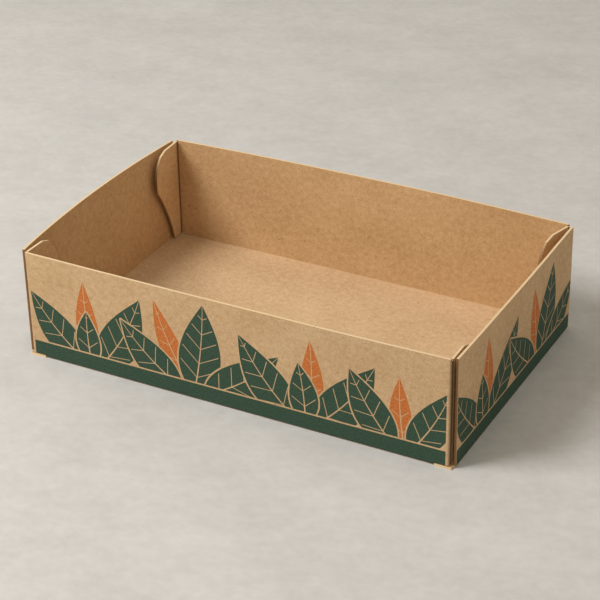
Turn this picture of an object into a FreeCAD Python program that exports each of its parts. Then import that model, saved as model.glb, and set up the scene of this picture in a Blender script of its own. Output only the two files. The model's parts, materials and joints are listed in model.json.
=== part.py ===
# Kraft board tray box, folded from one die-cut sheet, with four loose corner flaps.
# Millimetres. The origin is the middle of the underside, the front faces -Y and +Z is up.

import FreeCAD, Part
import math
import os
import Sketcher

# Driving dimensions, in millimetres.
SIZES = [
    ("outer_length", 305.0),
    ("outer_width", 190.0),
    ("outer_height", 76.0),
    ("board", 1.5),
    ("crease_inside", 0.4),
    ("side_setback", 3.0),
    ("corner_cut", 13.0),
    ("cut_width", 0.6),
    ("bow_front", 1.5),
    ("bow_back", 4.0),
    ("bow_left", 5.3),
    ("bow_right", 0.6),
    ("notch_depth", 1.0),
    ("notch_run", 0.5),
    ("flap_gap", 1.6),
    ("fold_clearance", 0.2),
    ("flap_reach", 31.0),
    ("flap_top_drop", 0.5),
    ("flap_top_run", 17.0),
    ("shoulder_depth", 20.0),
    ("shoulder_radius", 10.0),
    ("flap_side_run", 5.0),
    ("elbow_radius", 6.0),
    ("hollow_radius", 140.0),
    ("flap_foot", 10.0),
    ("foot_clearance", 0.9),
]

# How far each flap leans in from its side wall, in degrees.
ANGLES = [
    ("lean_angle_front_left", 1.5),
    ("lean_angle_front_right", 1.0),
    ("lean_angle_back_left", 2.0),
    ("lean_angle_back_right", 15.0),
]

# Formulas in the sheet's sizes that more than one feature uses.
FOLD = "(Sizes.crease_inside + Sizes.board)"
HALF_LENGTH = "(Sizes.outer_length / 2)"
HALF_WIDTH = "(Sizes.outer_width / 2)"
FOLD_START_X = f"({HALF_LENGTH} - {FOLD})"
FOLD_START_Y = f"({HALF_WIDTH} - {FOLD})"
WALL_FOOT = "(Sizes.board + Sizes.cut_width)"
FLAP_FACE_X = f"({HALF_LENGTH} - Sizes.board - Sizes.flap_gap)"
CORNER_X = f"({FLAP_FACE_X} - {FOLD})"
HINGE_X = f"({FLAP_FACE_X} - Sizes.board)"
HINGE_Y = f"({FOLD_START_Y} - Sizes.fold_clearance)"
SIDE_END_Y = f"({HALF_WIDTH} - Sizes.side_setback)"
NOTCH_FOOT = "(Sizes.outer_height - Sizes.notch_depth)"

doc = FreeCAD.newDocument("TrayBox")


def make_sheet():
    """The spreadsheet that holds the driving dimensions and the lean angles."""
    sheet = doc.addObject("Spreadsheet::Sheet", "Sizes")
    for row, (name, size) in enumerate(SIZES + ANGLES, start=1):
        sheet.set(f"A{row}", str(size))
        sheet.setAlias(f"A{row}", name)
    doc.recompute()
    return sheet


sheet = make_sheet()


def size_of(formula):
    """The present value of a formula."""
    return float(sheet.evalExpression(formula))


def make_body(name):
    """An empty body with its own label."""
    body = doc.addObject("PartDesign::Body", name)
    body.Label = name
    return body


def make_sketch(body, name, plane):
    """A sketch on one of the body's own origin planes."""
    sketch = body.newObject("Sketcher::SketchObject", name)
    support = next(item for item in body.Origin.OriginFeatures if item.Role == plane)
    sketch.AttachmentSupport = [(support, "")]
    sketch.MapMode = "FlatFace"
    return sketch


def bind(sketch, name, formula, *constraint):
    """A named dimension that follows a formula."""
    index = sketch.addConstraint(Sketcher.Constraint(*constraint, size_of(formula)))
    sketch.renameConstraint(index, name)
    sketch.setExpression(f"Constraints.{name}", formula)


def locate(sketch, name, edge, end, across, along):
    """Both distances from the sketch's origin to one end of an edge."""
    bind(sketch, f"{name}_across", across, "DistanceX", -1, 1, edge, end)
    bind(sketch, f"{name}_along", along, "DistanceY", -1, 1, edge, end)


def arc_between(start, end, radius):
    """An arc of under half a turn. A positive radius turns left on the way from start to end."""
    chord = end - start
    left = FreeCAD.Vector(-chord.y, chord.x, 0).normalize()
    height = math.sqrt(radius**2 - (chord.Length / 2) ** 2)
    centre = (start + end) / 2 + left * math.copysign(height, radius)
    angles = [math.atan2(spot.y - centre.y, spot.x - centre.x) for spot in (start, end)]
    if radius < 0:
        angles.reverse()
    return Part.ArcOfCircle(Part.Circle(centre, FreeCAD.Vector(0, 0, 1), abs(radius)), *angles)


def draw_outline(sketch, corners):
    """A closed outline, every corner tied to the sheet.

    Each corner is its distance across, its distance along, and the edge to the next corner: None
    for a line, or a pair of the turn (1 left, -1 right) and the formula of the arc's radius.
    """
    spots = [FreeCAD.Vector(size_of(across), size_of(along), 0) for across, along, bend in corners]
    ends = []
    for index, (across, along, bend) in enumerate(corners):
        start = spots[index]
        end = spots[(index + 1) % len(corners)]
        if bend is None:
            sketch.addGeometry(Part.LineSegment(start, end))
            ends.append((1, 2))
        else:
            turn, radius = bend
            sketch.addGeometry(arc_between(start, end, turn * size_of(radius)))
            ends.append((1, 2) if turn > 0 else (2, 1))
    for index, (across, along, bend) in enumerate(corners):
        following = (index + 1) % len(corners)
        joint = (index, ends[index][1], following, ends[following][0])
        sketch.addConstraint(Sketcher.Constraint("Coincident", *joint))
        locate(sketch, f"corner_{index}", index, ends[index][0], across, along)
        if bend is not None:
            bind(sketch, f"bend_{index}", bend[1], "Radius", index)


def pad(body, sketch, name, length, middle=False, flip=False):
    """A pad of the sketch, its length tied to the sheet."""
    feature = body.newObject("PartDesign::Pad", name)
    feature.Profile = sketch
    feature.setExpression("Length", length)
    feature.Midplane = middle
    feature.Reversed = flip
    doc.recompute()
    return feature


def all_four(across, along):
    """The corner's mirror images, anticlockwise from the back right one."""
    return [(across, along), (f"-{across}", along), (f"-{across}", f"-{along}"), (across, f"-{along}")]


def draw_floor(body):
    """The floor panel. Its four corner tabs reach out to the front and back faces."""
    sketch = make_sketch(body, "floor_outline", "XY_Plane")
    fold_end = f"({HALF_LENGTH} - Sizes.corner_cut)"
    tab, tab_left, tab_front_left, tab_front = all_four(FOLD_START_X, HALF_WIDTH)
    cut, cut_left, cut_front_left, cut_front = all_four(fold_end, HALF_WIDTH)
    root, root_left, root_front_left, root_front = all_four(fold_end, FOLD_START_Y)
    rim = [
        tab, cut, root,
        root_left, cut_left, tab_left,
        tab_front_left, cut_front_left, root_front_left,
        root_front, cut_front, tab_front,
    ]
    draw_outline(sketch, [(across, along, None) for across, along in rim])
    pad(body, sketch, "floor", "Sizes.board")


def draw_channel(body, name, plane, half_span, length):
    """The floor with a fold up each side and the foot of its wall, as one section along the tray."""
    sketch = make_sketch(body, f"{name}_section", plane)
    fold_start = f"({half_span} - {FOLD})"
    inside = f"({half_span} - Sizes.board)"
    round_out = (1, FOLD)
    round_in = (-1, "Sizes.crease_inside")
    section = [
        (f"-{fold_start}", "0", None),
        (fold_start, "0", round_out),
        (half_span, FOLD, None),
        (half_span, WALL_FOOT, None),
        (inside, WALL_FOOT, None),
        (inside, FOLD, round_in),
        (fold_start, "Sizes.board", None),
        (f"-{fold_start}", "Sizes.board", round_in),
        (f"-{inside}", FOLD, None),
        (f"-{inside}", WALL_FOOT, None),
        (f"-{half_span}", WALL_FOOT, None),
        (f"-{half_span}", FOLD, round_out),
    ]
    draw_outline(sketch, section)
    pad(body, sketch, name, length, middle=True)


def plan_sketch(body, name, turn, height):
    """A level sketch at a height, drawn for the front wall and turned to the wall it is for."""
    sketch = make_sketch(body, name, "XY_Plane")
    turned = FreeCAD.Rotation(FreeCAD.Vector(0, 0, 1), turn)
    sketch.AttachmentOffset = FreeCAD.Placement(FreeCAD.Vector(), turned)
    sketch.setExpression("AttachmentOffset.Base.z", height)
    return sketch


def draw_wall(body, name, turn, half_span, half_run, bow):
    """A wall that is straight at its foot and bows outward at its rim."""
    inside = f"({half_span} - Sizes.board)"
    radius = f"(({bow} ^ 2 + {half_run} ^ 2) / (2 * {bow}))"
    straight = (None, None)
    bowed = ((1, radius), (-1, radius))
    plans = []
    for level, height, edges in (("foot", WALL_FOOT, straight), ("rim", "Sizes.outer_height", bowed)):
        outer_edge, inner_edge = edges
        sketch = plan_sketch(body, f"{name}_{level}", turn, height)
        plan = [
            (f"-{half_run}", f"-{half_span}", outer_edge),
            (half_run, f"-{half_span}", None),
            (half_run, f"-{inside}", inner_edge),
            (f"-{half_run}", f"-{inside}", None),
        ]
        draw_outline(sketch, plan)
        plans.append(sketch)
    wall = body.newObject("PartDesign::AdditiveLoft", name)
    wall.Profile, *wall.Sections = plans
    wall.Ruled = True
    doc.recompute()


def draw_corner_folds(body, end, turn):
    """The two upright folds at the ends of a long wall. A notch parts each from the rim."""
    sketch = plan_sketch(body, f"{end}_fold_plan", turn, WALL_FOOT)
    inside = f"({HALF_WIDTH} - Sizes.board)"
    plan = [
        (CORNER_X, f"-{HALF_WIDTH}", (1, FOLD)),
        (FLAP_FACE_X, f"-{FOLD_START_Y}", None),
        (HINGE_X, f"-{FOLD_START_Y}", (-1, "Sizes.crease_inside")),
        (CORNER_X, f"-{inside}", None),
    ]
    draw_outline(sketch, plan)
    fold = pad(body, sketch, f"{end}_corner_fold", f"{NOTCH_FOOT} - {WALL_FOOT}")
    folds = body.newObject("PartDesign::Mirrored", f"{end}_corner_folds")
    folds.Originals = [fold]
    mirror = next(item for item in body.Origin.OriginFeatures if item.Role == "YZ_Plane")
    folds.MirrorPlane = (mirror, [""])
    body.Tip = folds
    doc.recompute()


def make_tray():
    """Floor, four walls and the four corner folds, all one sheet."""
    body = make_body("tray")
    draw_floor(body)
    fold_length = "Sizes.outer_length - 2 * Sizes.corner_cut"
    draw_channel(body, "long_fold", "YZ_Plane", HALF_WIDTH, fold_length)
    draw_channel(body, "side_fold", "XZ_Plane", HALF_LENGTH, f"2 * {SIDE_END_Y}")
    draw_wall(body, "front_wall", 0, HALF_WIDTH, CORNER_X, "Sizes.bow_front")
    draw_wall(body, "right_wall", 90, HALF_LENGTH, SIDE_END_Y, "Sizes.bow_right")
    draw_wall(body, "back_wall", 180, HALF_WIDTH, CORNER_X, "Sizes.bow_back")
    draw_wall(body, "left_wall", 270, HALF_LENGTH, SIDE_END_Y, "Sizes.bow_left")
    draw_corner_folds(body, "front", 0)
    draw_corner_folds(body, "back", 180)
    return body


def shoulder_arcs(top, bottom):
    """The flap's shoulder: a tight arc off the top edge that runs on into a wider one."""
    reach = size_of("Sizes.flap_reach")
    run = size_of("Sizes.flap_top_run")
    tight = size_of("Sizes.shoulder_radius")
    width = reach - run
    drop = top - bottom - tight
    wide = (width**2 + drop**2 - tight**2) / (2 * (width - tight))
    tight_centre = FreeCAD.Vector(run, top - tight, 0)
    wide_centre = FreeCAD.Vector(reach - wide, bottom, 0)
    meeting = wide_centre + (tight_centre - wide_centre).normalize() * wide
    first = arc_between(FreeCAD.Vector(run, top, 0), meeting, -tight)
    second = arc_between(meeting, FreeCAD.Vector(reach, bottom, 0), -wide)
    return first, second


def hollow_arcs(start, foot):
    """The flap's lower edge: a soft elbow, then a long hollow curve down to the foot."""
    elbow = size_of("Sizes.elbow_radius")
    hollow = size_of("Sizes.hollow_radius")
    elbow_centre = start - FreeCAD.Vector(elbow, 0, 0)
    span = foot - elbow_centre
    along = (span.Length**2 + (elbow + hollow) ** 2 - hollow**2) / (2 * span.Length)
    aside = math.sqrt((elbow + hollow) ** 2 - along**2)
    forward = FreeCAD.Vector(span).normalize()
    left = FreeCAD.Vector(-forward.y, forward.x, 0)
    hollow_centre = elbow_centre + forward * along + left * aside
    meeting = elbow_centre + (hollow_centre - elbow_centre).normalize() * elbow
    return arc_between(start, meeting, -elbow), arc_between(meeting, foot, hollow)


def draw_flap(sketch):
    """The flap's outline, from its fold at x = 0 out to its reach."""
    top = "(Sizes.outer_height - Sizes.flap_top_drop)"
    side_top = f"({top} - Sizes.shoulder_depth)"
    side_bottom = f"({side_top} - Sizes.flap_side_run)"
    foot = "(Sizes.board + Sizes.foot_clearance)"
    reach = size_of("Sizes.flap_reach")
    fold_top = FreeCAD.Vector(0, size_of(NOTCH_FOOT), 0)
    notch_end = FreeCAD.Vector(size_of("Sizes.notch_run"), size_of(NOTCH_FOOT), 0)
    top_start = FreeCAD.Vector(size_of("Sizes.notch_run"), size_of(top), 0)
    shoulder_start = FreeCAD.Vector(size_of("Sizes.flap_top_run"), size_of(top), 0)
    side_start = FreeCAD.Vector(reach, size_of(side_top), 0)
    side_end = FreeCAD.Vector(reach, size_of(side_bottom), 0)
    foot_end = FreeCAD.Vector(size_of("Sizes.flap_foot"), size_of(foot), 0)
    fold_foot = FreeCAD.Vector(0, size_of(foot), 0)

    # Edges 0 to 9, clockwise from the top of the fold.
    sketch.addGeometry(Part.LineSegment(fold_top, notch_end))
    sketch.addGeometry(Part.LineSegment(notch_end, top_start))
    sketch.addGeometry(Part.LineSegment(top_start, shoulder_start))
    for arc in shoulder_arcs(size_of(top), size_of(side_top)):
        sketch.addGeometry(arc)
    sketch.addGeometry(Part.LineSegment(side_start, side_end))
    for arc in hollow_arcs(side_end, foot_end):
        sketch.addGeometry(arc)
    sketch.addGeometry(Part.LineSegment(foot_end, fold_foot))
    sketch.addGeometry(Part.LineSegment(fold_foot, fold_top))

    locate(sketch, "fold_top", 0, 1, "0", NOTCH_FOOT)
    locate(sketch, "notch_end", 0, 2, "Sizes.notch_run", NOTCH_FOOT)
    locate(sketch, "top_start", 2, 1, "Sizes.notch_run", top)
    locate(sketch, "shoulder_start", 2, 2, "Sizes.flap_top_run", top)
    locate(sketch, "side_start", 5, 1, "Sizes.flap_reach", side_top)
    locate(sketch, "side_end", 5, 2, "Sizes.flap_reach", side_bottom)
    locate(sketch, "foot_end", 8, 1, "Sizes.flap_foot", foot)
    locate(sketch, "fold_foot", 9, 1, "0", foot)
    meetings = [
        (0, 2, 1, 1), (1, 2, 2, 1), (2, 2, 3, 2), (4, 1, 5, 1),
        (5, 2, 6, 2), (7, 2, 8, 1), (8, 2, 9, 1), (9, 2, 0, 1),
    ]
    for meeting in meetings:
        sketch.addConstraint(Sketcher.Constraint("Coincident", *meeting))
    sketch.addConstraint(Sketcher.Constraint("Tangent", 3, 1, 4, 2))
    sketch.addConstraint(Sketcher.Constraint("Tangent", 6, 1, 7, 1))
    sketch.addConstraint(Sketcher.Constraint("Vertical", 3, 3, 2, 2))
    sketch.addConstraint(Sketcher.Constraint("Horizontal", 4, 3, 5, 1))
    sketch.addConstraint(Sketcher.Constraint("Horizontal", 6, 3, 5, 2))
    bind(sketch, "shoulder", "Sizes.shoulder_radius", "Radius", 3)
    bind(sketch, "elbow", "Sizes.elbow_radius", "Radius", 6)
    bind(sketch, "hollow", "Sizes.hollow_radius", "Radius", 7)


def make_flap(end, side):
    """One corner flap, standing on its fold and leaning in from the side wall."""
    name = f"flap_{end}_{side}"
    body = make_body(name)
    sketch = make_sketch(body, f"{name}_outline", "XZ_Plane")
    draw_flap(sketch)
    outward = "" if side == "right" else "-"
    forward = "" if end == "back" else "-"
    board_on_left = (end == "back") == (side == "right")
    pad(body, sketch, f"{name}_board", "Sizes.board", flip=board_on_left)
    facing = -90 if end == "back" else 90
    lean = "-" if board_on_left else "+"
    angle = f"{facing} {lean} Sizes.lean_angle_{end}_{side}"
    turned = FreeCAD.Rotation(FreeCAD.Vector(0, 0, 1), size_of(angle))
    body.Placement = FreeCAD.Placement(FreeCAD.Vector(), turned)
    body.setExpression("Placement.Base.x", f"{outward}{HINGE_X}")
    body.setExpression("Placement.Base.y", f"{forward}{HINGE_Y}")
    body.setExpression("Placement.Rotation.Angle", angle)
    return body


def check_model(bodies):
    """Stops with a message if any object failed or any piece is not one sound solid."""
    for item in doc.Objects:
        if "Invalid" in item.State or "Error" in item.State:
            raise RuntimeError(f"{item.Name} failed: {item.State}")
    for body in bodies:
        shape = body.Shape
        if shape.isNull() or not shape.isValid() or len(shape.Solids) != 1:
            raise RuntimeError(f"{body.Label} is not one sound solid")


bodies = [make_tray()]
for flap_end in ("front", "back"):
    for flap_side in ("left", "right"):
        bodies.append(make_flap(flap_end, flap_side))
doc.recompute()
check_model(bodies)

os.makedirs("parts", exist_ok=True)
for piece in bodies:
    piece.Shape.exportStep(f"parts/{piece.Label}.step")
    box = piece.Shape.BoundBox
    print(f"{piece.Label}: {piece.Shape.Volume:.1f} mm3, x {box.XMin:.2f} to {box.XMax:.2f}, "
          f"y {box.YMin:.2f} to {box.YMax:.2f}, z {box.ZMin:.2f} to {box.ZMax:.2f}")
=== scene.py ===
import json
import math

import bpy
from mathutils import Matrix, Vector, noise


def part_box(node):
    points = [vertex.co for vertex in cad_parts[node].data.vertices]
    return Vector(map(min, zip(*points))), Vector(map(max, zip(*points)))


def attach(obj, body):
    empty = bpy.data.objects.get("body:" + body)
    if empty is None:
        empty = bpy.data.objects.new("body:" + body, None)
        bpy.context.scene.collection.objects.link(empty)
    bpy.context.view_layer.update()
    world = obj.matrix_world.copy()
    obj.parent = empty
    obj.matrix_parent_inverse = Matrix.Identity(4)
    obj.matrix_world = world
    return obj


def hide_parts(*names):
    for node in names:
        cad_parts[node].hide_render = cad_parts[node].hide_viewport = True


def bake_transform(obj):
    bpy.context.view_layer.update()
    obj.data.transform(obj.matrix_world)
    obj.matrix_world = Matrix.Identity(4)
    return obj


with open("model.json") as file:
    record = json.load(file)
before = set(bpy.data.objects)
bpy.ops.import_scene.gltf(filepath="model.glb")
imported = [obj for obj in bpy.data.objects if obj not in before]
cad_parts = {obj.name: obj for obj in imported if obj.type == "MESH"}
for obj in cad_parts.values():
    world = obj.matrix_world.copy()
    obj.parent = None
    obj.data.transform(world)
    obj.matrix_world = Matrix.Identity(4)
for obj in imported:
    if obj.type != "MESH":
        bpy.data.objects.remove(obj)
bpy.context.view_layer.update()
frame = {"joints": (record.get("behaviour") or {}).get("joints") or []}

# The looks of a kraft board tray box: the folded sheet with its four corner flaps, the board's
# fibres and cut edges, and a plain leaf border printed round the walls. Metres throughout.

# Sizes of the tray
HALF_LENGTH = 0.1525
HALF_WIDTH = 0.095
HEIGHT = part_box("tray")[1].z
HINGE_X = max(joint["pos_m"][0] for joint in frame["joints"])
BOWS = {"front": 0.0015, "right": 0.0006, "back": 0.0040, "left": 0.0053}

# Sizes of the board and its cuts
BOARD = 0.0015
FOLD_RADIUS = 0.0004
SIDE_SETBACK = 0.003
CORNER_CUT = 0.013
CUT_WIDTH = 0.0006
NOTCH_DEPTH = 0.0010
NOTCH_RUN = 0.0005
NOTCH_SLOPE = 0.00005
# The share of the upright fold where the notch starts
NOTCH_START = 0.6

# Sizes of a corner flap
FLAP_REACH = 0.031
FLAP_TOP_DROP = 0.0005
FLAP_TOP_RUN = 0.017
SHOULDER_DEPTH = 0.020
SHOULDER_RADIUS = 0.010
FLAP_SIDE_RUN = 0.005
ELBOW_RADIUS = 0.006
HOLLOW_RADIUS = 0.140
FLAP_FOOT = 0.010
FOOT_CLEARANCE = 0.0009
LEANS = {
    "flap_front_left": 1.5,
    "flap_front_right": 1.0,
    "flap_back_left": 2.0,
    "flap_back_right": 15.0,
}

# What follows from them
FOLD = FOLD_RADIUS + BOARD
FOLD_MIDDLE = FOLD_RADIUS + BOARD / 2
FLOOR_X = HALF_LENGTH - FOLD
FLOOR_Y = HALF_WIDTH - FOLD
FOLD_END_X = HALF_LENGTH - CORNER_CUT
SIDE_END_Y = HALF_WIDTH - SIDE_SETBACK
WALL_FOOT = BOARD + CUT_WIDTH
CORNER_X = HINGE_X - FOLD_RADIUS
CORNER_Y = FLOOR_Y

# How far the board's surface wanders, in long waves and in short ones, with the waves to a metre
# along each axis and where up the noise each starts
SLOW_SWAY = 0.00045
SLOW_WAVES = (14, 14, 9)
SLOW_START = 3.7
FINE_SWAY = 0.00012
FINE_WAVES = (60, 60, 40)
FINE_START = 8.1

# How the sheet is divided
CELL = 0.004
ROUNDING = 1e-6
POINT_KEYS_PER_METRE = 1e6
ARC_STEPS = 8
CORNER_STEPS = 14
FLAP_ROWS = 26
SHARP_ANGLE = math.radians(40)

# The columns of a flap's shoulder lie at the last steps of a quarter arc over the flap's reach,
# and this clear of the end of its level top
SHOULDER_STEPS = 20
FIRST_SHOULDER_STEP = 11
SHOULDER_CLEARANCE = 0.0005

# The mesh attribute that holds each point's place on the flat sheet, and what sets its inside
# apart, and the one that holds how steeply each cut edge runs, from 0 level to 1 upright, which
# sets the edge's painted highlight and painted shade
FLAT = "flat_sheet"
INSIDE_SHIFT = 0.7
STEEP = "edge_steepness"

# The mesh's material slots. The outsides of the long and of the side walls have their own, and
# so has the inside of the floor panel, whose colour is painted lighter as painted light.
OUTSIDE, INSIDE, EDGE, LONG_WALL, SIDE_WALL, FLOOR_PANEL = range(6)


def spread(start, end, cell=CELL):
    """Evenly spaced values from start to end, about one cell apart."""
    count = max(1, math.ceil(abs(end - start) / cell - ROUNDING))
    return [start + (end - start) * step / count for step in range(count + 1)]


def through(*stops):
    """Evenly spaced values that pass through each stop."""
    values = [stops[0]]
    for start, end in zip(stops, stops[1:]):
        values += spread(start, end)[1:]
    return values


def sway(point):
    """How far the board stands off its true surface there: a slow wave that grows up the walls."""
    def wave(waves, start):
        x, y, z = (value * count for value, count in zip(point, waves))
        return noise.noise(Vector((x, y, z + start)))

    lift = min(1.0, max(0.0, (point.z - WALL_FOOT) / (HEIGHT - WALL_FOOT)))
    return lift * (SLOW_SWAY * wave(SLOW_WAVES, SLOW_START) + FINE_SWAY * wave(FINE_WAVES, FINE_START))


def turned(x, y, quarters):
    """A place in plan, turned about the middle of the tray by so many quarter turns."""
    for _ in range(quarters):
        x, y = -y, x
    return x, y


class Sheet:
    """The middle surface of a folded board, in quads.

    Each point knows the board's outward side and its place on the flat sheet before folding.
    """

    def __init__(self):
        self.points = []
        self.normals = []
        self.flats = []
        self.quads = []
        self.skins = []
        self.linings = []
        self.index = {}

    def point(self, place, normal, flat):
        key = tuple(round(value * POINT_KEYS_PER_METRE) for value in place)
        if key not in self.index:
            self.index[key] = len(self.points)
            self.points.append(Vector(place))
            self.normals.append(Vector(normal))
            self.flats.append(flat)
        return self.index[key]

    def patch(self, rows, skin=OUTSIDE, lining=INSIDE):
        """Rows of (place, normal, flat). Quads run so that the outward side is their front."""
        grid = [[self.point(*spot) for spot in row] for row in rows]
        for lower, upper in zip(grid, grid[1:]):
            for a, b, c, d in zip(lower, lower[1:], upper[1:], upper):
                quad = [a, b, c, d]
                corner = self.points[a]
                facing = (self.points[b] - corner).cross(self.points[d] - corner)
                if facing.dot(self.normals[a]) < 0:
                    quad.reverse()
                self.quads.append(quad)
                self.skins.append(skin)
                self.linings.append(lining)

    def rim(self):
        """The edges that only one quad uses, in that quad's direction."""
        used = {edge for quad in self.quads for edge in zip(quad, quad[1:] + quad[:1])}
        return sorted(edge for edge in used if edge[::-1] not in used)

    def build(self, name):
        """The board as a closed mesh: outside, inside, and the cut edge all round."""
        count = len(self.points)
        outer = []
        inner = []
        for place, normal in zip(self.points, self.normals):
            moved = place + normal * sway(place)
            outer.append(moved + normal * BOARD / 2)
            inner.append(moved - normal * BOARD / 2)
        faces = list(self.quads)
        faces += [[count + corner for corner in reversed(quad)] for quad in self.quads]
        slots = self.skins + self.linings
        steepness = [0.0] * len(faces)
        for start, end in self.rim():
            faces.append([end, start, count + start, count + end])
            slots.append(EDGE)
            run = self.points[end] - self.points[start]
            steepness.append(abs(run.z) / run.length)
        mesh = bpy.data.meshes.new(name)
        mesh.from_pydata(outer + inner, [], faces)
        mesh.polygons.foreach_set("material_index", slots)
        steep = mesh.attributes.new(STEEP, "FLOAT", "FACE")
        steep.data.foreach_set("value", steepness)
        flat = mesh.attributes.new(FLAT, "FLOAT_VECTOR", "POINT")
        values = [(*place, side) for side in (0.0, INSIDE_SHIFT) for place in self.flats]
        flat.data.foreach_set("vector", [number for value in values for number in value])
        mesh.shade_smooth()
        mesh.set_sharp_from_angle(angle=SHARP_ANGLE)
        mesh.update()
        piece = bpy.data.objects.new(name, mesh)
        bpy.context.scene.collection.objects.link(piece)
        return piece


def build_tray():
    """The floor, its corner tabs, and the four walls on their folds."""
    sheet = Sheet()
    across = through(-FLOOR_X, -FOLD_END_X, FOLD_END_X, FLOOR_X)
    along = through(-FLOOR_Y, -SIDE_END_Y, SIDE_END_Y, FLOOR_Y)
    sheet.patch([[floor_spot(x, y) for x in across] for y in along], lining=FLOOR_PANEL)
    for side in (-1, 1):
        for end in (-1, 1):
            tab_x = spread(side * FOLD_END_X, side * FLOOR_X)
            tab_y = (end * FLOOR_Y, end * HALF_WIDTH)
            sheet.patch([[floor_spot(x, y) for x in tab_x] for y in tab_y])
    long_fold = through(-FOLD_END_X, FOLD_END_X)
    long_run = through(-CORNER_X, -FOLD_END_X, FOLD_END_X, CORNER_X)
    side_run = through(-SIDE_END_Y, SIDE_END_Y)
    build_wall(sheet, 0, HALF_WIDTH, long_fold, long_run, BOWS["front"])
    build_wall(sheet, 1, HALF_LENGTH, side_run, side_run, BOWS["right"])
    build_wall(sheet, 2, HALF_WIDTH, long_fold, long_run, BOWS["back"])
    build_wall(sheet, 3, HALF_LENGTH, side_run, side_run, BOWS["left"])
    return sheet.build("tray_sheet")


def floor_spot(x, y):
    """A point of the floor's middle surface."""
    return (x, y, BOARD / 2), (0, 0, -1), (x, y)


def build_wall(sheet, quarters, half_span, fold_run, wall_run, bow):
    """A wall on its floor fold, drawn as the front one and turned to its side of the tray.

    It is straight at its foot and bows outward at its rim.
    """
    def spot(run, out, up, facing, rise, flat_out):
        place = (*turned(run, -out, quarters), up)
        normal = (*turned(0, -facing, quarters), rise)
        return place, normal, turned(run, -flat_out, quarters)

    rows = []
    for step in range(ARC_STEPS + 1):
        turn = math.pi / 2 * step / ARC_STEPS
        out = half_span - FOLD + FOLD_MIDDLE * math.sin(turn)
        up = FOLD - FOLD_MIDDLE * math.cos(turn)
        flat_out = half_span + FOLD * (2 * step / ARC_STEPS - 1)
        rows.append([spot(run, out, up, math.sin(turn), -math.cos(turn), flat_out) for run in fold_run])
    skin = SIDE_WALL if quarters % 2 else LONG_WALL
    sheet.patch(rows, skin)
    plane = half_span - BOARD / 2
    foot = [[spot(run, plane, z, 1, 0, half_span + z) for run in fold_run] for z in (FOLD, WALL_FOOT)]
    sheet.patch(foot, skin)
    rows = []
    for z in spread(WALL_FOOT, HEIGHT):
        rise = (z - WALL_FOOT) / (HEIGHT - WALL_FOOT)
        bowed = [bow * rise * (1 - (run / wall_run[-1]) ** 2) for run in wall_run]
        rows.append([spot(run, plane + out, z, 1, 0, half_span + z) for run, out in zip(wall_run, bowed)])
    sheet.patch(rows, skin)


def flap_top(reach):
    """Height of the flap's top edge, that far from its fold."""
    top = HEIGHT - FLAP_TOP_DROP
    if reach <= FLAP_TOP_RUN:
        return top
    width = FLAP_REACH - FLAP_TOP_RUN
    drop = SHOULDER_DEPTH - SHOULDER_RADIUS
    wide = (width**2 + drop**2 - SHOULDER_RADIUS**2) / (2 * (width - SHOULDER_RADIUS))
    wide_x = FLAP_REACH - wide
    meeting = wide_x + wide * (FLAP_TOP_RUN - wide_x) / (wide - SHOULDER_RADIUS)
    if reach <= meeting:
        side = math.sqrt(SHOULDER_RADIUS**2 - (reach - FLAP_TOP_RUN) ** 2)
        return top - SHOULDER_RADIUS + side
    return top - SHOULDER_DEPTH + math.sqrt(max(0.0, wide**2 - (reach - wide_x) ** 2))


def flap_bottom(reach):
    """Height of the flap's lower edge, that far from its fold."""
    foot = BOARD + FOOT_CLEARANCE
    if reach <= FLAP_FOOT:
        return foot
    elbow_x = FLAP_REACH - ELBOW_RADIUS
    elbow_z = HEIGHT - FLAP_TOP_DROP - SHOULDER_DEPTH - FLAP_SIDE_RUN
    span = Vector((FLAP_FOOT - elbow_x, foot - elbow_z))
    forward = span.normalized()
    both = ELBOW_RADIUS + HOLLOW_RADIUS
    along = (span.length**2 + both**2 - HOLLOW_RADIUS**2) / (2 * span.length)
    aside = math.sqrt(both**2 - along**2)
    hollow_x = elbow_x + forward.x * along - forward.y * aside
    hollow_z = elbow_z + forward.y * along + forward.x * aside
    meeting = elbow_x + (hollow_x - elbow_x) * ELBOW_RADIUS / both
    if reach <= meeting:
        return hollow_z + math.sqrt(HOLLOW_RADIUS**2 - (reach - hollow_x) ** 2)
    return elbow_z - math.sqrt(max(0.0, ELBOW_RADIUS**2 - (reach - elbow_x) ** 2))


def fold_columns(turn):
    """The upright fold: each column's place, outward direction, length along the sheet, ends."""
    columns = []
    for step in range(CORNER_STEPS + 1):
        share = step / CORNER_STEPS
        angle = turn * share
        outward = (math.sin(angle), math.cos(angle))
        place = (FOLD_MIDDLE * outward[0], FOLD_MIDDLE * outward[1])
        bottom = WALL_FOOT + (FOOT_CLEARANCE - CUT_WIDTH) * share
        top = HEIGHT if share < NOTCH_START else HEIGHT - NOTCH_DEPTH
        columns.append((place, outward, FOLD_MIDDLE * angle, bottom, top))
    return columns


def board_columns(root, outward, length):
    """The flap's own board, on from the end of its fold."""
    steps = range(FIRST_SHOULDER_STEP, SHOULDER_STEPS + 1)
    shoulder = [FLAP_REACH * math.sin(math.pi / 2 * step / SHOULDER_STEPS) for step in steps]
    reaches = [NOTCH_RUN / 2, NOTCH_RUN, NOTCH_RUN + NOTCH_SLOPE]
    reaches += through(NOTCH_RUN, FLAP_FOOT, FLAP_TOP_RUN)[1:]
    reaches += [reach for reach in shoulder if reach > FLAP_TOP_RUN + SHOULDER_CLEARANCE]
    columns = []
    for reach in reaches:
        place = (root[0] + outward[1] * reach, root[1] - outward[0] * reach)
        top = HEIGHT - NOTCH_DEPTH if reach <= NOTCH_RUN else flap_top(reach)
        columns.append((place, outward, length + reach, flap_bottom(reach), top))
    return columns


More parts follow.
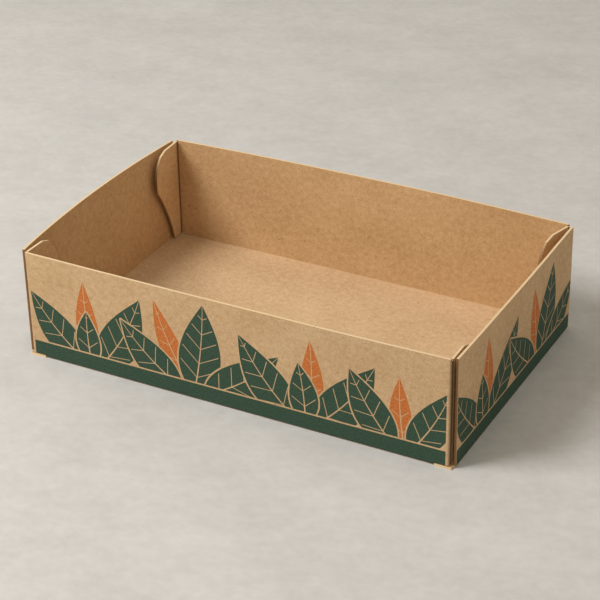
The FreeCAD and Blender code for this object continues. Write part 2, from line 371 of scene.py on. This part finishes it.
def build_flap(name, side, end):
    """A corner flap with the fold that carries it, from the end of its wall to its free edge."""
    columns = fold_columns(math.pi / 2 + math.radians(LEANS[name]))
    root, outward, length = columns[-1][:3]
    columns += board_columns(root, outward, length)
    rows = []
    for row in range(FLAP_ROWS + 1):
        line = []
        for (out_x, out_y), (face_x, face_y), length, bottom, top in columns:
            z = bottom + (top - bottom) * row / FLAP_ROWS
            place = (side * (CORNER_X + out_x), end * (CORNER_Y + out_y), z)
            normal = (side * face_x, end * face_y, 0)
            line.append((place, normal, (side * (CORNER_X + length), end * (HALF_WIDTH + z))))
        rows.append(line)
    sheet = Sheet()
    sheet.patch(rows)
    return sheet.build(f"{name}_sheet")


def linear(red, green, blue):
    """A given colour, as the shader needs it."""
    def channel(value):
        return value / 12.92 if value <= 0.04045 else ((value + 0.055) / 1.055) ** 2.4
    return channel(red), channel(green), channel(blue), 1.0


# The finish of the bare board, and the depth of its relief
ROUGHNESS = 0.88
SHINE = 0.25
RELIEF = 0.00010

# Colours of the board and the inks; some of the board's colours hold painted light and shade, as marked
KRAFT_DARK = linear(0.700, 0.556, 0.392)
KRAFT_LIGHT = linear(0.872, 0.748, 0.590)
INSIDE_DARK = linear(0.690, 0.538, 0.362)
INSIDE_LIGHT = linear(0.868, 0.733, 0.560)
# The inside of the floor panel: the board painted lighter as painted light, for the light that falls on
# it
PANEL_LIT_DARK = linear(0.735, 0.598, 0.445)
PANEL_LIT_LIGHT = linear(0.905, 0.790, 0.640)
# The inside of the corner flaps: the board painted lighter as painted light
FLAP_LIT_DARK = linear(0.740, 0.590, 0.415)
FLAP_LIT_LIGHT = linear(0.915, 0.790, 0.620)
# Level cut edges: painted pale as painted highlight
RIM_HIGHLIGHT_DARK = linear(0.860, 0.730, 0.560)
RIM_HIGHLIGHT_LIGHT = linear(0.970, 0.880, 0.730)
# Upright cut edges: painted brown as painted shade
UPRIGHT_CUT_SHADE = linear(0.520, 0.385, 0.245)
# The inside of the upright folds: the scored crease's own darker colour with painted shade
CREASE_AND_SHADE = linear(0.400, 0.210, 0.060)
# The outside of the upright folds, down in the slit by the side wall: painted shade
SLIT_SHADE = linear(0.190, 0.105, 0.045)
SPECK = linear(0.430, 0.300, 0.180)
GREEN_DARK = linear(0.100, 0.240, 0.190)
GREEN_LIGHT = linear(0.185, 0.325, 0.265)
ORANGE_DARK = linear(0.700, 0.375, 0.150)
ORANGE_LIGHT = linear(0.830, 0.485, 0.235)

# The board's pattern. Waves are so many to a metre along the flat sheet, across it and through it,
# turns are in radians, and weights are how strongly each shows.
MOTTLE_WAVES = (24, 30, 5)
MOTTLE_WEIGHT = 0.6
PATCH_WAVES = (240, 270, 40)
PATCH_WEIGHT = 0.8
PATTERN_DETAIL = 3.0
FIBRES = [((420, 1500, 90), 0.15), ((480, 1300, 90), 1.25), ((450, 1400, 90), -0.95)]
FIBRE_DETAIL = 1.0
FIBRE_WEIGHT = 1.7
SPECK_WAVES = (430, 600, 60)
SPECK_TURN = 0.4
SPECK_LIMIT = 0.175
SPECK_SOFTNESS = 0.03
SPECK_STRENGTH = 0.6


class Field:
    """A number that varies over the surface, held as the output of a shader node."""

    def __init__(self, socket):
        self.socket = socket
        self.tree = socket.id_data

    def feed(self, socket):
        self.tree.links.new(self.socket, socket)

    def math(self, operation, *others):
        node = self.tree.nodes.new("ShaderNodeMath")
        node.operation = operation
        self.feed(node.inputs[0])
        for place, other in enumerate(others, start=1):
            if isinstance(other, Field):
                other.feed(node.inputs[place])
            else:
                node.inputs[place].default_value = other
        return Field(node.outputs[0])

    def __add__(self, other):
        return self.math("ADD", other)

    def __sub__(self, other):
        return self.math("SUBTRACT", other)

    def __mul__(self, other):
        return self.math("MULTIPLY", other)

    def __truediv__(self, other):
        return self.math("DIVIDE", other)

    def __pow__(self, other):
        return self.math("POWER", other)

    def size(self):
        return self.math("ABSOLUTE")

    def held(self):
        """The number kept between 0 and 1."""
        node = self.tree.nodes.new("ShaderNodeClamp")
        self.feed(node.inputs["Value"])
        return Field(node.outputs[0])

    def opposite(self):
        """One less the number."""
        return self * -1.0 + 1.0

    def below(self, limit, softness):
        """1 where the number is under the limit and 0 where it is over."""
        node = self.tree.nodes.new("ShaderNodeMapRange")
        node.inputs["From Min"].default_value = limit - softness / 2
        node.inputs["From Max"].default_value = limit + softness / 2
        node.inputs["To Min"].default_value = 1.0
        node.inputs["To Max"].default_value = 0.0
        self.feed(node.inputs["Value"])
        return Field(node.outputs[0])


def flat_place(tree):
    """The place on the flat sheet, as three fields."""
    attribute = tree.nodes.new("ShaderNodeAttribute")
    attribute.attribute_name = FLAT
    parts = tree.nodes.new("ShaderNodeSeparateXYZ")
    tree.links.new(attribute.outputs["Vector"], parts.inputs[0])
    return [Field(socket) for socket in parts.outputs]


def local_place(place, origin, turn, scale):
    """The place as seen from an origin, turned, and in units of so many metres each way."""
    tree = place[0].tree
    vector = tree.nodes.new("ShaderNodeCombineXYZ")
    for field, socket in zip(place, vector.inputs):
        field.feed(socket)
    mapping = tree.nodes.new("ShaderNodeMapping")
    mapping.vector_type = "TEXTURE"
    mapping.inputs["Location"].default_value = origin
    mapping.inputs["Rotation"].default_value = (0, 0, turn)
    mapping.inputs["Scale"].default_value = scale
    tree.links.new(vector.outputs[0], mapping.inputs["Vector"])
    return mapping.outputs[0]


def cloud(place, stretch, detail, turn=0.0):
    """Noise from 0 to 1 over the sheet, so many waves to a metre each way."""
    tree = place[0].tree
    node = tree.nodes.new("ShaderNodeTexNoise")
    node.inputs["Scale"].default_value = 1.0
    node.inputs["Detail"].default_value = detail
    scale = tuple(1 / waves for waves in stretch)
    tree.links.new(local_place(place, (0, 0, 0), turn, scale), node.inputs["Vector"])
    return Field(node.outputs["Fac"])


def blend_colours(first, second, share):
    """A colour between two, each a plain colour or a node's output."""
    node = share.tree.nodes.new("ShaderNodeMix")
    node.data_type = "RGBA"
    share.feed(node.inputs[0])
    for colour, socket in ((first, node.inputs[6]), (second, node.inputs[7])):
        if isinstance(colour, tuple):
            socket.default_value = colour
        else:
            share.tree.links.new(colour, socket)
    return node.outputs[2]


def fibres(place):
    """Short fibres that lie every way across the sheet, from dark to light about 0.5."""
    first, second, third = (cloud(place, waves, FIBRE_DETAIL, turn) for waves, turn in FIBRES)
    return (first + second + third) / 3.0


def kraft_colour(place, dark, light):
    """The board's colour: soft mottling, fibres and sparse specks."""
    mottle = cloud(place, MOTTLE_WAVES, PATTERN_DETAIL)
    patches = cloud(place, PATCH_WAVES, PATTERN_DETAIL)
    grain = fibres(place)
    tone = (mottle - 0.5) * MOTTLE_WEIGHT + (patches - 0.5) * PATCH_WEIGHT + (grain - 0.5) * FIBRE_WEIGHT
    colour = blend_colours(dark, light, (tone + 0.5).held())
    specks = cloud(place, SPECK_WAVES, 0.0, SPECK_TURN).below(SPECK_LIMIT, SPECK_SOFTNESS)
    return blend_colours(colour, SPECK, specks * SPECK_STRENGTH), grain


def new_material(name):
    """An empty material with its shader."""
    material = bpy.data.materials.new(name)
    material.use_nodes = True
    shader = material.node_tree.nodes["Principled BSDF"]
    shader.inputs["Roughness"].default_value = ROUGHNESS
    shader.inputs["Specular IOR Level"].default_value = SHINE
    return material, shader


def add_bump(shader, height, distance):
    """Relief on the surface, that deep in metres where the height goes from 0 to 1."""
    bump = height.tree.nodes.new("ShaderNodeBump")
    bump.inputs["Strength"].default_value = 1.0
    bump.inputs["Distance"].default_value = distance
    height.feed(bump.inputs["Height"])
    height.tree.links.new(bump.outputs["Normal"], shader.inputs["Normal"])


def kraft_material(name, dark, light, crease=None):
    """Bare board. A crease is where the upright fold starts to be painted dark, and its colour there:
    painted shade, which on the inside of the fold also holds the scored crease's own darker colour.
    """
    material, shader = new_material(name)
    tree = material.node_tree
    place = flat_place(tree)
    colour, grain = kraft_colour(place, dark, light)
    if crease:
        start, crease_shade_colour = crease
        # The band of painted shade along the upright fold
        past = place[0].size() - CORNER_X
        started = past.below(start, CREASE_SHADE_SOFTNESS).opposite()
        share = started * past.below(CREASE_SHADE_END, CREASE_SHADE_SOFTNESS) * CREASE_SHADE_STRENGTH
        colour = blend_colours(colour, crease_shade_colour, share)
    tree.links.new(colour, shader.inputs["Base Color"])
    add_bump(shader, grain, RELIEF)
    return material


def edge_material():
    """The cut edge of the board: painted pale as painted highlight where it is level, and brown as
    painted shade where it is upright.
    """
    material, shader = new_material("kraft_edge")
    tree = material.node_tree
    colour, grain = kraft_colour(flat_place(tree), RIM_HIGHLIGHT_DARK, RIM_HIGHLIGHT_LIGHT)
    attribute = tree.nodes.new("ShaderNodeAttribute")
    attribute.attribute_name = STEEP
    steep = Field(attribute.outputs["Fac"])
    # Painted shade on the upright cut edges, painted highlight on the level ones
    tree.links.new(blend_colours(colour, UPRIGHT_CUT_SHADE, steep * steep), shader.inputs["Base Color"])
    add_bump(shader, grain, RELIEF)
    return material


# The leaf border: fans of leaves that rise from a band along the foot of each wall. A leaf is its
# ink, the place of its root along the wall, its turn from level, its length, its half breadth
# and its bend. Those further down the list lie over those before them.
LONG_LEAVES = [
    ("orange", -0.101, 94, 0.060, 0.0085, 0.10),
    ("orange", -0.027, 113, 0.066, 0.0085, 0.16),
    ("orange", 0.055, 88, 0.060, 0.0085, -0.12),
    ("orange", 0.120, 94, 0.050, 0.0075, 0.10),
    ("green", -0.108, 132, 0.058, 0.0130, 0.20),
    ("green", -0.096, 60, 0.066, 0.0140, -0.20),
    ("green", -0.036, 137, 0.058, 0.0125, 0.22),
    ("green", -0.026, 82, 0.066, 0.0150, -0.10),
    ("green", -0.018, 38, 0.068, 0.0135, -0.24),
    ("green", 0.046, 127, 0.064, 0.0140, 0.20),
    ("green", 0.060, 52, 0.066, 0.0140, -0.22),
    ("green", 0.113, 122, 0.056, 0.0125, 0.18),
    ("green", 0.124, 62, 0.054, 0.0120, -0.18),
    ("green", -0.103, 92, 0.038, 0.0090, 0.10),
    ("green", 0.053, 96, 0.042, 0.0100, -0.10),
]
SIDE_LEAVES = [
    ("orange", -0.050, 88, 0.062, 0.0085, -0.12),
    ("orange", 0.038, 102, 0.060, 0.0085, 0.12),
    ("green", -0.057, 130, 0.060, 0.0130, 0.20),
    ("green", -0.044, 50, 0.068, 0.0140, -0.22),
    ("green", 0.030, 136, 0.060, 0.0130, 0.22),
    ("green", 0.040, 74, 0.064, 0.0145, -0.12),
    ("green", 0.050, 36, 0.056, 0.0120, -0.20),
    ("green", -0.051, 96, 0.040, 0.0095, 0.10),
]
LEAF_ROOT = 0.006
LEAF_SWELL = 0.7
LEAF_TAPER = 1.1
LEAF_FULLNESS = 3.33
LEAF_END_SHARPNESS = 2.0
BAND_HEIGHT = 0.0120
OUTLINE = 0.0011
MIDRIB = 0.00055
MIDRIB_TAPER = 0.7
VEIN = 0.0003
VEIN_SPACING = 0.011
VEIN_SLANT = 0.75
VEIN_MARGIN = 0.0016
INK_SOFTNESS = 0.00015
PRINT_MARGIN = 0.0006
PRINT_FOOT = 0.0003

# The ink's cover, where it is worn thin over the fibres, and how much smoother it is
WORN_WAVES = (900, 1100, 50)
WORN_DETAIL = 2.0
WORN_CONTRAST = 2.4
INK_COVER = 0.97
INK_SMOOTHING = 0.22


def leaf_ink(along, height, root, turn, length, half_breadth, bend):
    """One leaf: its ink, bare along its veins, and the whole of it with a bare outline."""
    tree = along.tree
    vector = local_place((along, height), (root, LEAF_ROOT, 0), math.radians(turn), (length, length, 1))
    parts = tree.nodes.new("ShaderNodeSeparateXYZ")
    tree.links.new(vector, parts.inputs[0])
    out, aside = Field(parts.outputs[0]), Field(parts.outputs[1])
    share = out.held()
    rest = share.opposite()
    aside = (aside - share * rest * bend).size() * length
    half = share ** LEAF_SWELL * rest ** LEAF_TAPER * (LEAF_FULLNESS * half_breadth)
    beyond = (out - share).size() * length * LEAF_END_SHARPNESS
    past = aside - half + beyond
    whole = past.below(OUTLINE, INK_SOFTNESS)
    midrib = (aside + share * (MIDRIB * MIDRIB_TAPER)).below(MIDRIB, INK_SOFTNESS)
    climb = out * length - aside * VEIN_SLANT
    vein = climb.math("PINGPONG", VEIN_SPACING / 2).below(VEIN, INK_SOFTNESS)
    vein = vein * past.below(-VEIN_MARGIN, INK_SOFTNESS)
    bare = midrib.math("MAXIMUM", vein)
    return past.below(0.0, INK_SOFTNESS) * bare.opposite(), whole


def leaf_border(along, height, end, leaves):
    """How much of the green and of the orange ink lies on a wall."""
    clear = height.below(BAND_HEIGHT + OUTLINE, INK_SOFTNESS).opposite()
    inks = {"green": height.below(BAND_HEIGHT, INK_SOFTNESS), "orange": height * 0.0}
    for name, *shape in leaves:
        ink, whole = leaf_ink(along, height, *shape)
        bare = (whole * clear).opposite()
        inks = {colour: amount * bare for colour, amount in inks.items()}
        inks[name] = inks[name] + ink * clear
    inside_margin = along.size().below(end - PRINT_MARGIN, INK_SOFTNESS)
    printed_part = inside_margin * height.below(PRINT_FOOT, INK_SOFTNESS).opposite()
    return inks["green"] * printed_part, inks["orange"] * printed_part


def printed_material(name, side_wall):
    """The outside of the long or the side walls: board with the leaf border on it."""
    material, shader = new_material(name)
    tree = material.node_tree
    place = flat_place(tree)
    x, y, _ = place
    if side_wall:
        wall = (y * x.math("SIGN"), x.size() - HALF_LENGTH, SIDE_END_Y, SIDE_LEAVES)
    else:
        wall = (x * y.math("SIGN") * -1.0, y.size() - HALF_WIDTH, CORNER_X, LONG_LEAVES)
    colour, grain = kraft_colour(place, KRAFT_DARK, KRAFT_LIGHT)
    worn = cloud(place, WORN_WAVES, WORN_DETAIL)
    thin = ((grain + worn - 1.0) * WORN_CONTRAST + 0.5).held()
    green, orange = leaf_border(*wall)
    colour = blend_colours(colour, blend_colours(GREEN_DARK, GREEN_LIGHT, thin), green * INK_COVER)
    colour = blend_colours(colour, blend_colours(ORANGE_DARK, ORANGE_LIGHT, thin), orange * INK_COVER)
    tree.links.new(colour, shader.inputs["Base Color"])
    ((green + orange) * -INK_SMOOTHING + ROUGHNESS).feed(shader.inputs["Roughness"])
    add_bump(shader, grain, RELIEF)
    return material


# How far past the end of the wall the upright fold's crease is painted dark, along the flat sheet:
# painted shade, on the inside together with the scored crease's own darker colour
CREASE_SHADE_INSIDE_START = 0.0002
CREASE_SHADE_OUTSIDE_START = 0.0010
CREASE_SHADE_END = 0.0031
CREASE_SHADE_SOFTNESS = 0.0010
CREASE_SHADE_STRENGTH = 0.85

long_print = printed_material("kraft_long_print", False)
side_print = printed_material("kraft_side_print", True)
outside = kraft_material("kraft_outside", KRAFT_DARK, KRAFT_LIGHT)
inside = kraft_material("kraft_inside", INSIDE_DARK, INSIDE_LIGHT)
edge = edge_material()
# The floor panel's inside, painted lighter as painted light
panel = kraft_material("kraft_floor_panel", PANEL_LIT_DARK, PANEL_LIT_LIGHT)
# The outside of the flaps: painted shade down the slit past their fold
flap_outside = kraft_material("flap_outside", KRAFT_DARK, KRAFT_LIGHT, (CREASE_SHADE_OUTSIDE_START, SLIT_SHADE))
# The inside of the flaps: a lighter board as painted light, with the crease's painted shade
flap_inside = kraft_material("flap_inside", FLAP_LIT_DARK, FLAP_LIT_LIGHT, (CREASE_SHADE_INSIDE_START, CREASE_AND_SHADE))


def dress(piece, materials):
    """Gives a piece its materials, in the order of the mesh's slots."""
    for material in materials:
        piece.data.materials.append(material)


tray = build_tray()
dress(tray, (outside, inside, edge, long_print, side_print, panel))
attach(tray, "tray")
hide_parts("tray")

for flap_name in LEANS:
    side = 1 if flap_name.endswith("right") else -1
    end = 1 if "back" in flap_name else -1
    flap = build_flap(flap_name, side, end)
    dress(flap, (flap_outside, flap_inside, edge))
    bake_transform(flap)
    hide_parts(flap_name)


# Half the width of the surface that the tray stands on, and the hairline between the two, so
# that they never lie in one plane
FLOOR_REACH = 3.0
FLOOR_GAP = 0.00005

# The surface's colours
SURFACE_DARK = linear(0.762, 0.757, 0.752)
SURFACE_LIGHT = linear(0.852, 0.848, 0.844)

# Its clouds: waves to a metre each way, detail, turn in radians, and how strongly they show
CLOUDS = [
    ((11, 17, 1), 4.0, 0.0, 0.95),
    ((55, 75, 1), 3.0, 0.5, 0.7),
    ((160, 190, 1), 3.0, 0.0, 0.7),
]


def make_floor():
    """The pale surface that the tray stands on, smooth with faint clouds."""
    reach, depth = FLOOR_REACH, -FLOOR_GAP
    corners = [(x * reach, y * reach, depth) for x, y in ((-1, -1), (1, -1), (1, 1), (-1, 1))]
    mesh = bpy.data.meshes.new("floor")
    mesh.from_pydata(corners, [], [(0, 1, 2, 3)])
    floor = bpy.data.objects.new("floor", mesh)
    bpy.context.scene.collection.objects.link(floor)
    material, shader = new_material("pale_surface")
    tree = material.node_tree
    parts = tree.nodes.new("ShaderNodeSeparateXYZ")
    tree.links.new(tree.nodes.new("ShaderNodeTexCoord").outputs["Object"], parts.inputs[0])
    place = [Field(socket) for socket in parts.outputs]
    broad, middle, fine = ((cloud(place, *shape) - 0.5) * weight for *shape, weight in CLOUDS)
    tone = broad + middle + fine
    colour = blend_colours(SURFACE_DARK, SURFACE_LIGHT, (tone + 0.5).held())
    tree.links.new(colour, shader.inputs["Base Color"])
    floor.data.materials.append(material)


def make_lamp(name, place, target, size, power, colour):
    """A round area lamp that shines at the target."""
    light = bpy.data.lights.new(name, "AREA")
    light.shape = "DISK"
    light.size = size
    light.energy = power
    light.color = colour
    lamp = bpy.data.objects.new(name, light)
    lamp.location = place
    lamp.rotation_mode = "QUATERNION"
    aim = Vector(target) - Vector(place)
    lamp.rotation_quaternion = aim.to_track_quat("-Z", "Y")
    bpy.context.scene.collection.objects.link(lamp)


def make_world(strength, colour):
    """Even light from all round."""
    world = bpy.data.worlds.new("studio")
    world.use_nodes = True
    background = world.node_tree.nodes["Background"]
    background.inputs["Color"].default_value = colour
    background.inputs["Strength"].default_value = strength
    bpy.context.scene.world = world


# The light: one large lamp at the front left, and a weak, warm glow from all round
KEY_PLACE = (-1.00, -0.90, 1.42)
KEY_TARGET = (0, 0, 0)
KEY_SIZE = 0.9
KEY_POWER = 27.8
KEY_COLOUR = (1.0, 0.980, 0.950)
WORLD_STRENGTH = 0.50
WORLD_COLOUR = linear(1.0, 0.965, 0.90)

# The photograph's camera, in metres and degrees, with its focal length in pixels of the frame
CAMERA_DISTANCE = 1.3426
CAMERA_AZIMUTH = 28.386
CAMERA_ELEVATION = 29.579
CAMERA_ROLL = -1.054
CAMERA_TARGET = Vector((-0.0257, 0.04643, 0.0))
FOCAL_PIXELS = 1952.7
FRAME_PIXELS = 600
SENSOR = 36.0


def make_camera():
    """A camera at the photograph's viewing angle."""
    data = bpy.data.cameras.new("camera")
    data.sensor_width = SENSOR
    data.lens = FOCAL_PIXELS * SENSOR / FRAME_PIXELS
    camera = bpy.data.objects.new("camera", data)
    azimuth = math.radians(CAMERA_AZIMUTH)
    elevation = math.radians(CAMERA_ELEVATION)
    flat = math.cos(elevation)
    back = Vector((math.sin(azimuth) * flat, -math.cos(azimuth) * flat, math.sin(elevation)))
    right = Vector((math.cos(azimuth), math.sin(azimuth), 0))
    up = back.cross(right)
    roll = math.radians(CAMERA_ROLL)
    turned_right = right * math.cos(roll) + up * math.sin(roll)
    turned_up = up * math.cos(roll) - right * math.sin(roll)
    axes = Matrix((turned_right, turned_up, back)).transposed()
    place = CAMERA_TARGET + back * CAMERA_DISTANCE
    camera.matrix_world = Matrix.Translation(place) @ axes.to_4x4()
    bpy.context.scene.collection.objects.link(camera)
    bpy.context.scene.camera = camera


make_floor()
make_lamp("key", KEY_PLACE, KEY_TARGET, KEY_SIZE, KEY_POWER, KEY_COLOUR)
make_world(WORLD_STRENGTH, WORLD_COLOUR)
make_camera()
bpy.context.scene.view_settings.view_transform = "Standard"
